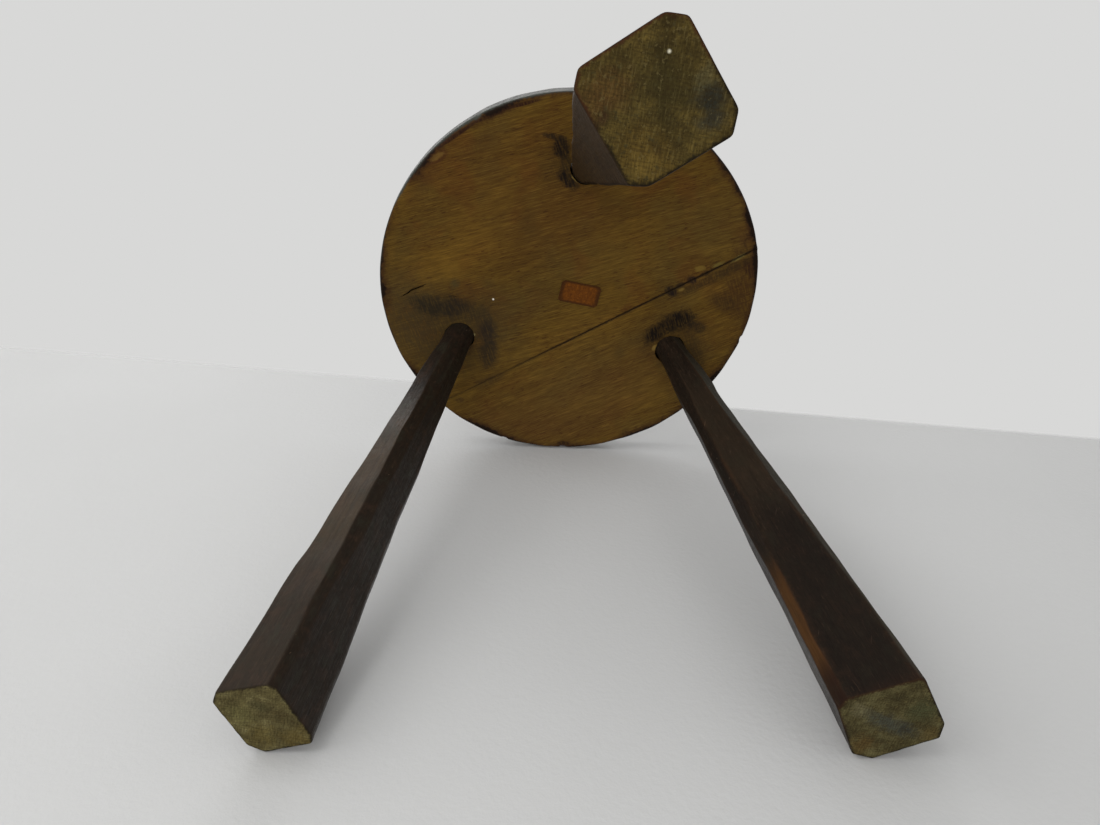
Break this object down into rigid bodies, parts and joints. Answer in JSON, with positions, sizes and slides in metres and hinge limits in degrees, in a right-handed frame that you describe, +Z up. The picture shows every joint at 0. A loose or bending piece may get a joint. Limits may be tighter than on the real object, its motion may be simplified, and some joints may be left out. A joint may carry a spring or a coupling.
{
  "type": "three-legged stool",
  "caption": "Small round wooden stool on splayed, chamfered legs that widen to the floor, with through tenons wedged into a seat of two jointed boards.",
  "frame": {"origin": "bottom centre of the bounding box: on the floor, under the middle of the box that holds the seat and the three feet", "axes": "+Z up, out of the sitting face; -Y towards the front leg, which splays the furthest; +X to the right leg's side"},
  "size_m": [0.3714, 0.3882, 0.373],
  "materials": {
    "seat_wood": "worn ochre-brown underside, dark polished edge and top",
    "leg_wood": "dark brown stain, semi-gloss, yellowish end grain at the feet",
    "wedge_wood": "dark brown, worn smooth",
    "dowel_wood": "plain unfinished",
    "label_paper": "old brown-orange paper, slightly glossy"
  },
  "bodies": {
    "root": {"seat_wide_board": "seat_wood", "seat_narrow_board": "seat_wood", "joint_dowel_1": "dowel_wood", "joint_dowel_2": "dowel_wood", "joint_dowel_3": "dowel_wood", "front_leg": "leg_wood", "front_wedge": "wedge_wood", "right_leg": "leg_wood", "right_wedge": "wedge_wood", "left_leg": "leg_wood", "left_wedge": "wedge_wood", "paper_label": "label_paper"}
  },
  "joints": []
}
